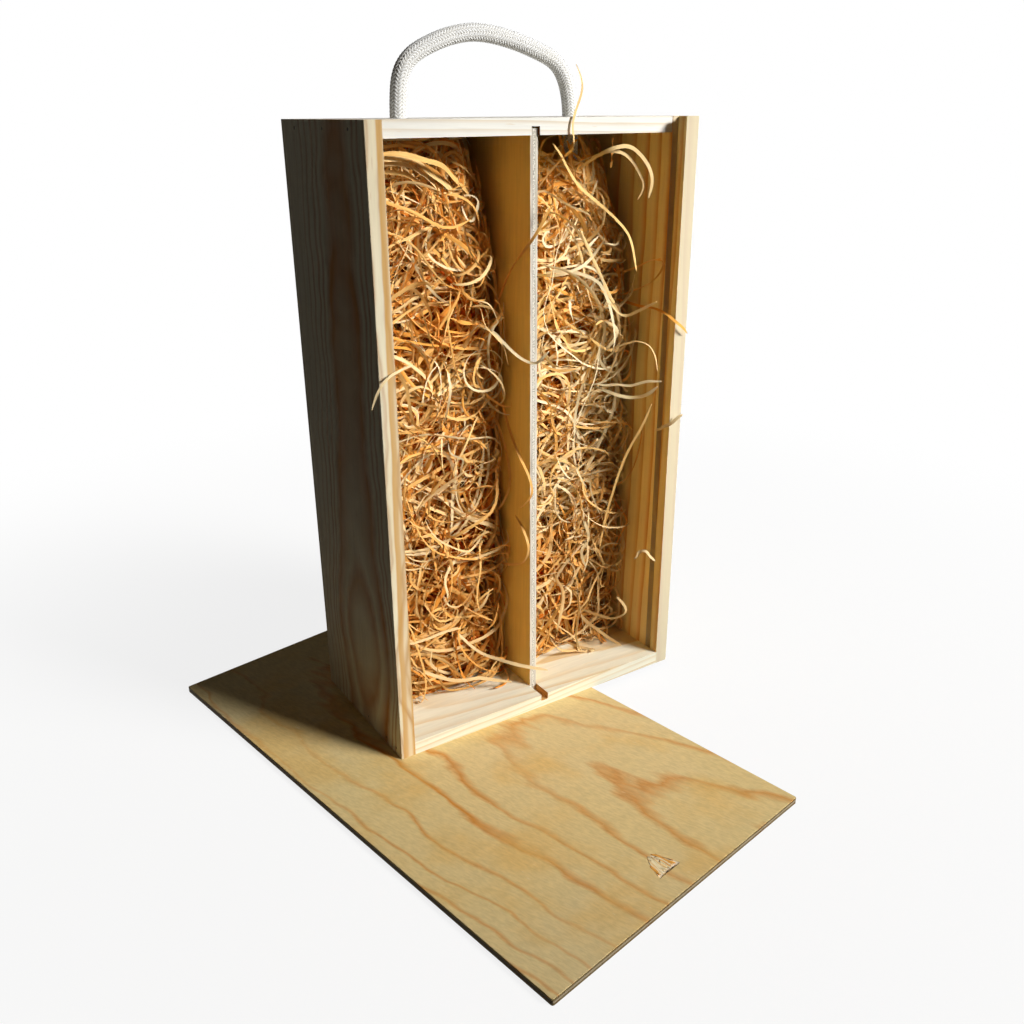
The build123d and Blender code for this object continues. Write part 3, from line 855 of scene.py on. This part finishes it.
def scatter(bay, dice, kind, leader, low, high):
    # random places over the heap's front, or over the part of it that the kind keeps to
    count = kind["count"]
    x = dice.uniform(low, high, count)
    z = dice.uniform(wool["floor"], wool["ceiling"], count)
    if kind["name"] == "curtain":
        inner, foot = wool["curtainFrom"]
        x = dice.uniform(inner, bay["curtainReach"], count) * np.sign(low + high)
        z = dice.uniform(foot, bay["curtainTop"], count)
    if kind["name"] == "fringe":
        x = dice.uniform(high - wool["fringe"][0], high - wool["fringe"][1], count)
    if kind["name"] == "side":
        x = dice.choice((low + wool["flank"], high - wool["flank"]), count)
        z = dice.uniform(wool["floor"], wool["flankTop"], count)
    x = x[leader] + dice.normal(0, kind["apart"], count)
    z = z[leader] + dice.normal(0, kind["apart"], count)
    y = heapFront(bay, x, z) + dice.uniform(*kind["depth"], count)
    if kind["name"] == "curtain":
        y = dice.uniform(*wool["curtainDepth"], count)
    return np.stack([x, y, z], -1)


def packStrands(bay, dice, kind, material):
    # curls round the scattered places, pressed between the walls, the floor and the top board, and held
    # back where they stand out of the heap's front by more than free
    low, high = sorted((bay["outerWall"], bay["divider"]))
    leader = np.arange(kind["count"]) // kind["bundle"] * kind["bundle"]
    centres = scatter(bay, dice, kind, leader, low, high)
    x, y, z = centres.T
    share = (x - bay["outerWall"]) / (bay["divider"] - bay["outerWall"])
    stays = (z < heapTop(bay, share) + wool["overTop"]) | (kind["name"] == "curtain")
    path, normal = curls(dice, centres, kind, leader)
    path[..., 1] = y[:, None] + kind["flat"] * (path[..., 1] - y[:, None])
    if kind["name"] == "side":
        path[..., 0] = x[:, None] + 0.03 * (path[..., 0] - x[:, None])
    front = heapFront(bay, path[..., 0], path[..., 2]) - kind["free"]
    path[..., 1] = np.maximum(path[..., 1], front + 0.15 * np.minimum(path[..., 1] - front, 0))
    path[..., 0] = within(path[..., 0], low + 0.001, high - 0.001, kind["press"])
    path[..., 1] = np.minimum(path[..., 1], wool["back"] - 0.0014)
    path[..., 2] = within(path[..., 2], wool["floor"] + 0.001, wool["ceiling"] - 0.001, 60)
    width = dice.uniform(*kind["width"], kind["count"])
    # painted light and shade: each bay's tones are raised or lowered by height
    tones = dice.uniform(*kind["tone"], kind["count"]) + np.interp(z, wool["paintedShadingHeights"], bay["paintedShading"])
    # painted shade: browner and darker as they sink into the heap, but not beside its flanks, which show
    # when the heap is out
    sunk = np.clip((path[..., 1] - heapFront(bay, path[..., 0], path[..., 2])) / wool["paintedShadeDepth"], 0, 1)
    inner = np.clip(np.minimum(path[..., 0] - low, high - path[..., 0]) / wool["flankOver"], 0, 1)
    tones = tones[:, None] + sunk * (0.4 - 0.95 * inner)
    keep = clearOfKnot(path, y) & stays
    body = "wool_" + bay["name"]
    partOfHeap(bay, ribbons(body + "_" + kind["name"], path[keep], normal[keep], width[keep], dice, body,
                            material, tones[keep]))


# Kinds of strand. They lie in bundles, so far apart; facing weighs the directions of the curls' planes, flat
# squeezes them from front to back, depth is where they start behind the heap's front, and free is how far
# they may stand out of it. turns is how often a strand goes round, tone its colour from 0 to 1.
usual = {"bundle": 2, "apart": 0.003, "facing": (0.5, 1.0, 0.5), "wave": 0.0012, "free": 0.0, "press": 7}

strandKinds = (
    # painted shade: the deep strands' tones are darker than the others'
    dict(usual, name="deep", count=460, bundle=3, apart=0.004, facing=(0.6, 1.0, 0.6), flat=0.5,
         length=(0.06, 0.13), turns=(0.1, 0.7), crimp=0.07, wave=0.0015, depth=(0.003, 0.013),
         width=(0.0012, 0.0026), tone=(0.0, 0.4)),
    dict(usual, name="near", count=600, bundle=3, apart=0.0035, flat=0.22, length=(0.07, 0.17),
         turns=(0.05, 0.5), crimp=0.1, depth=(-0.004, 0.005), free=0.005, width=(0.0013, 0.0028),
         tone=(0.3, 0.9)),
    dict(usual, name="curl", count=220, flat=0.6, length=(0.03, 0.07), turns=(0.25, 1.0), crimp=0.1,
         wave=0.001, depth=(-0.006, 0.001), free=0.006, width=(0.0008, 0.0017), tone=(0.45, 1.0)),
    dict(usual, name="stray", count=120, apart=0.005, facing=(0.45, 1.0, 0.45), flat=0.4,
         length=(0.07, 0.16), turns=(0.1, 0.65), crimp=0.1, wave=0.002, depth=(-0.011, -0.003),
         free=0.016, width=(0.001, 0.0022), tone=(0.5, 1.05)),
    dict(usual, name="curtain", count=200, flat=0.5, length=(0.04, 0.09), turns=(0.3, 1.0), crimp=0.06,
         depth=(0, 0), free=0.012, width=(0.001, 0.0023), tone=(0.3, 0.95)),
    dict(usual, name="fringe", count=90, flat=0.7, length=(0.04, 0.1), turns=(0.5, 1.1), crimp=0.06,
         wave=0.0015, depth=(-0.013, -0.002), free=0.02, width=(0.0009, 0.0019), tone=(0.35, 0.95)),
    dict(usual, name="side", count=300, bundle=1, apart=0.0004, facing=(1.0, 0.15, 0.15), flat=1.0,
         length=(0.05, 0.12), turns=(0.1, 0.8), crimp=0.08, wave=0.0, depth=(0.006, 0.046),
         width=(0.0012, 0.0026), tone=(0.7, 1.3), press=60),
)

# Single strands that stand clear of the heaps: each a width, a tone and the places along it, in millimetres
looseLeft = {
    "overEdge": (1.3, 0.9, (-72, -30, 232), (-84, -44, 235), (-91, -54, 237), (-100, -56, 235),
                 (-107, -56, 226), (-109, -55, 219)),
    "white": (1.9, 1.0, (-34, -3, 252), (-26, -10, 247), (-20, -15, 244), (-16, -21, 242),
              (-11, -27, 235), (-6, -35, 227), (-2, -42, 225), (1, -45, 228), (5, -47, 233)),
    "sweepTop": (2.6, 0.6, (-88, -33, 338), (-71, -35, 338), (-55, -29, 334), (-40, -19, 328),
                 (-27, -11, 320), (-22, -9, 313)),
    "sweepMiddle": (2.9, 0.75, (-88, -31, 336), (-72, -31, 337), (-57, -23, 331), (-41, -14, 323),
                    (-32, -11, 314), (-27, -7, 306)),
    "sweepLow": (2.7, 0.8, (-87, -27, 333), (-70, -27, 334), (-56, -19, 328), (-43, -12, 320),
                 (-36, -11, 312), (-31, -7, 303)),
    "sweepFoot": (2.2, 0.6, (-84, -22, 330), (-68, -21, 329), (-55, -13, 323), (-46, -12, 316),
                  (-41, -11, 308), (-37, -7, 299)),
    "topLoop": (1.6, 1.0, (-31, -8, 309), (-29, -11, 314), (-25, -13, 316), (-20, -14, 313),
                (-20, -15, 307), (-24, -14, 301), (-29, -13, 304), (-28, -12, 311)),
    "toDivider": (1.7, 0.45, (-5, 2, 241), (-5, -10, 257), (-5, -23, 276), (-4, -39, 290), (0, -45, 300),
                  (6, -47, 311)),
    "ring": (1.5, 0.9, (-38, -7, 311), (-45, -10, 305), (-51, -12, 295), (-52, -12, 288), (-48, -13, 282),
             (-40, -13, 278), (-30, -12, 276), (-22, -9, 274)),
    "long": (2.4, 0.7, (-64, -1, 312), (-61, -5, 320), (-50, -9, 318), (-41, -11, 314), (-33, -11, 303),
             (-28, -9, 291), (-22, -5, 272)),
    "drop": (1.8, 0.6, (-12, -2, 209), (-11, -8, 194), (-7, -14, 180), (-5, -20, 161), (-5, -21, 146),
             (-5, -13, 131), (-7, -6, 124)),
    "farDrop": (1.6, 0.5, (-6, -10, 217), (-7, -16, 194), (-6, -30, 171), (-5, -43, 158), (-5, -46, 146),
                (-6, -34, 136)),
    "hook": (1.6, 0.6, (-5, -26, 129), (-5, -42, 118), (-5, -41, 107), (-5, -29, 94), (-9, -14, 93)),
    "bent": (2.0, 0.8, (-38, -4, 142), (-24, -8, 128), (-15, -10, 123), (-11, -14, 109), (-6, -20, 91)),
    "outOfBay": (2.2, 1.0, (-47, -6, 59), (-40, -12, 50), (-31, -20, 39), (-26, -28, 36), (-14, -46, 35),
                 (4, -49, 27)),
    "floor": (2.2, 0.9, (-75, -14, 39), (-59, -24, 29), (-46, -27, 25), (-35, -29, 25), (-28, -32, 22),
              (-14, -34, 17)),
}

looseRight = {
    "riser": (1.5, 0.75, (23, -8, 316), (28, -22, 332), (27, -35, 337), (24, -42, 341), (22, -41.8, 349),
              (24, -41.5, 357), (29, -41.3, 367), (28, -41, 374), (25, -40.6, 379)),
    "overTop": (2.2, 0.7, (15, -34, 341), (25, -27, 336), (34, -21, 328), (46, -16, 317), (58, -16, 309),
                (66, -24, 300), (72, -31, 291), (74, -34, 281), (75, -36, 269)),
    "bigArc": (2.1, 0.8, (47, -14, 326), (50, -26, 333), (55, -35, 338), (65, -36, 339), (73, -36, 335),
               (78, -40, 328), (80, -42, 319), (78, -40, 310)),
    "innerArc": (1.8, 0.8, (46, -12, 328), (50, -28, 335), (58, -34, 337), (70, -32, 332), (75, -36, 324),
                 (77, -39, 316), (74, -35, 309)),
    "stub": (2.4, 0.4, (59, -30, 343), (60, -29, 337), (63, -24, 327)),
    "loop": (2.0, 0.5, (87, 0, 262), (90, -16, 267), (90, -31, 274), (90, -45, 276), (90, -39, 265),
             (90, -24, 256), (88, -4, 249)),
    "overRight": (1.9, 0.35, (84, 0, 247), (90, -20, 246), (90, -47, 245), (91, -55, 241), (96, -56, 237),
                  (101, -55, 232)),
    "hookRight": (1.8, 0.8, (63, -15, 272), (64, -18, 261), (67, -22, 249), (72, -28, 241),
                  (78, -36, 245), (84, -45, 252)),
    "bend": (2.0, 0.9, (57, -10, 241), (65, -19, 240), (71, -27, 234), (69, -24, 225), (62, -16, 216)),
    "hair": (1.0, 0.8, (67, -22, 221), (73, -30, 225), (79, -37, 228), (84, -45, 224), (86, -47, 210)),
    "fork": (1.7, 1.0, (62, -16, 199), (72, -29, 198), (81, -40, 202), (88, -49, 204)),
    "scoop": (2.2, 1.0, (62, -16, 197), (73, -29, 191), (81, -40, 192), (86, -48, 200)),
    "sweep": (1.6, 0.7, (84, -45, 189), (82, -41, 176), (76, -33, 155), (70, -26, 128), (66, -20, 86)),
    "tick": (2.0, 0.9, (89, -44, 171), (91, -54, 175), (99, -57, 183)),
    "hanging": (1.8, 0.5, (90, -30, 167), (90, -29, 152), (90, -18, 128), (81, -6, 121), (63, -4, 127)),
    "tail": (1.6, 0.4, (78, -4, 133), (82, -6, 121), (89, -8, 110), (90, -20, 101), (89, -15, 90),
             (90, -4, 67)),
    "flake": (2.2, 1.0, (80, -40, 82), (83, -43, 89), (86, -46, 88), (89, -50, 82)),
    "lowCurl": (1.8, 0.6, (83, -2, 80), (90, -5, 60), (84, -8, 44), (76, -8, 38), (73, -4, 47)),
    "lowArc": (2.0, 0.9, (58, -8, 38), (67, -22, 35), (74, -31, 34), (80, -38, 43), (74, -31, 52)),
    "floor": (2.2, 0.9, (54, -6, 39), (62, -15, 28), (70, -26, 20), (76, -35, 15)),
}


def looseStrands(bay, strands, dice, material):
    # smooth lines through the strands' places, each with a slight wave, their flat sides turned to the
    # front and a little upwards
    lines, widths, tones, steps = [], [], [], wool["looseSteps"]
    for width, tone, *places in strands.values():
        line = smoothLine("strandLine", np.array(places) / 1000, 12)
        lines.append(evenly(line, steps)[0])
        widths.append(width / 1000)
        tones.append(tone)
    wave = 0.00025 * np.sin(np.linspace(0, 14, steps))[None, :, None]
    path = np.array(lines) + wave * dice.normal(size=(len(lines), 1, 3))
    normal = unit(np.array([0.0, 0.9, -0.4]) + dice.normal(0, 0.2, (len(lines), 3)))
    partOfHeap(bay, ribbons("wool_" + bay["name"] + "_loose", path, normal, np.array(widths), dice,
                            "wool_" + bay["name"], material, np.array(tones), 0.16))


def addHeap(bay, strands, material, coreMaterial):
    dice = np.random.default_rng(bay["seed"])
    addCore(bay, coreMaterial)
    for kind in strandKinds:
        packStrands(bay, dice, kind, material)
    looseStrands(bay, strands, dice, material)


woolMaterial = shavings()
coreMaterial = heapCore()
addHeap(leftBay, looseLeft, woolMaterial, coreMaterial)
addHeap(rightBay, looseRight, woolMaterial, coreMaterial)
print("wood wool packed")


# Torn fibres in the lid's thumb notch, fanning out from its shallow tip to its deep end

tearing = {"count": 22, "seed": 5, "middle": (-0.060, -0.0529), "turn": 10.26, "acrossOffset": 0.0013,
           "tip": -0.1420, "length": 0.0146, "halfWidth": 0.0078, "depth": 0.0017, "top": 0.0038}


def tornFibres():
    # across = half width x share x root of the way from the tip; depth grows with the way and is least
    # at the sides; the far ends curl up
    dice = np.random.default_rng(tearing["seed"])
    count, steps = tearing["count"], 12
    share = np.linspace(-0.95, 0.95, count)[:, None]
    start = dice.uniform(0.05, 0.5, (count, 1))
    way = start + (dice.uniform(0.8, 0.97, (count, 1)) - start) * np.linspace(0, 1, steps)[None]
    across = tearing["acrossOffset"] + tearing["halfWidth"] * share * np.sqrt(way)
    across = across + 0.0003 * np.sin(9 * way + 6 * share)
    along = tearing["tip"] - tearing["length"] * way
    lift = dice.uniform(0, 0.0007, (count, 1)) * np.linspace(0, 1, steps)[None] ** 3
    height = tearing["top"] - tearing["depth"] * way * (1 - share ** 2) + 0.00012 + lift
    turn = math.radians(tearing["turn"])
    middle = tearing["middle"]
    path = np.stack([middle[0] + across * math.cos(turn) - along * math.sin(turn),
                     middle[1] + across * math.sin(turn) + along * math.cos(turn), height], -1)
    normal = np.tile([0.0, 0.0, 1.0], (count, 1))
    width = dice.uniform(0.0005, 0.0013, count)
    tones = dice.choice((0.4, 0.8, 1.0, 1.0), count)
    piece = ribbons("notchFibres", path, normal, width, dice, "lid", woolMaterial, tones, 0.25)


tornFibres()
print("thumb notch finished")
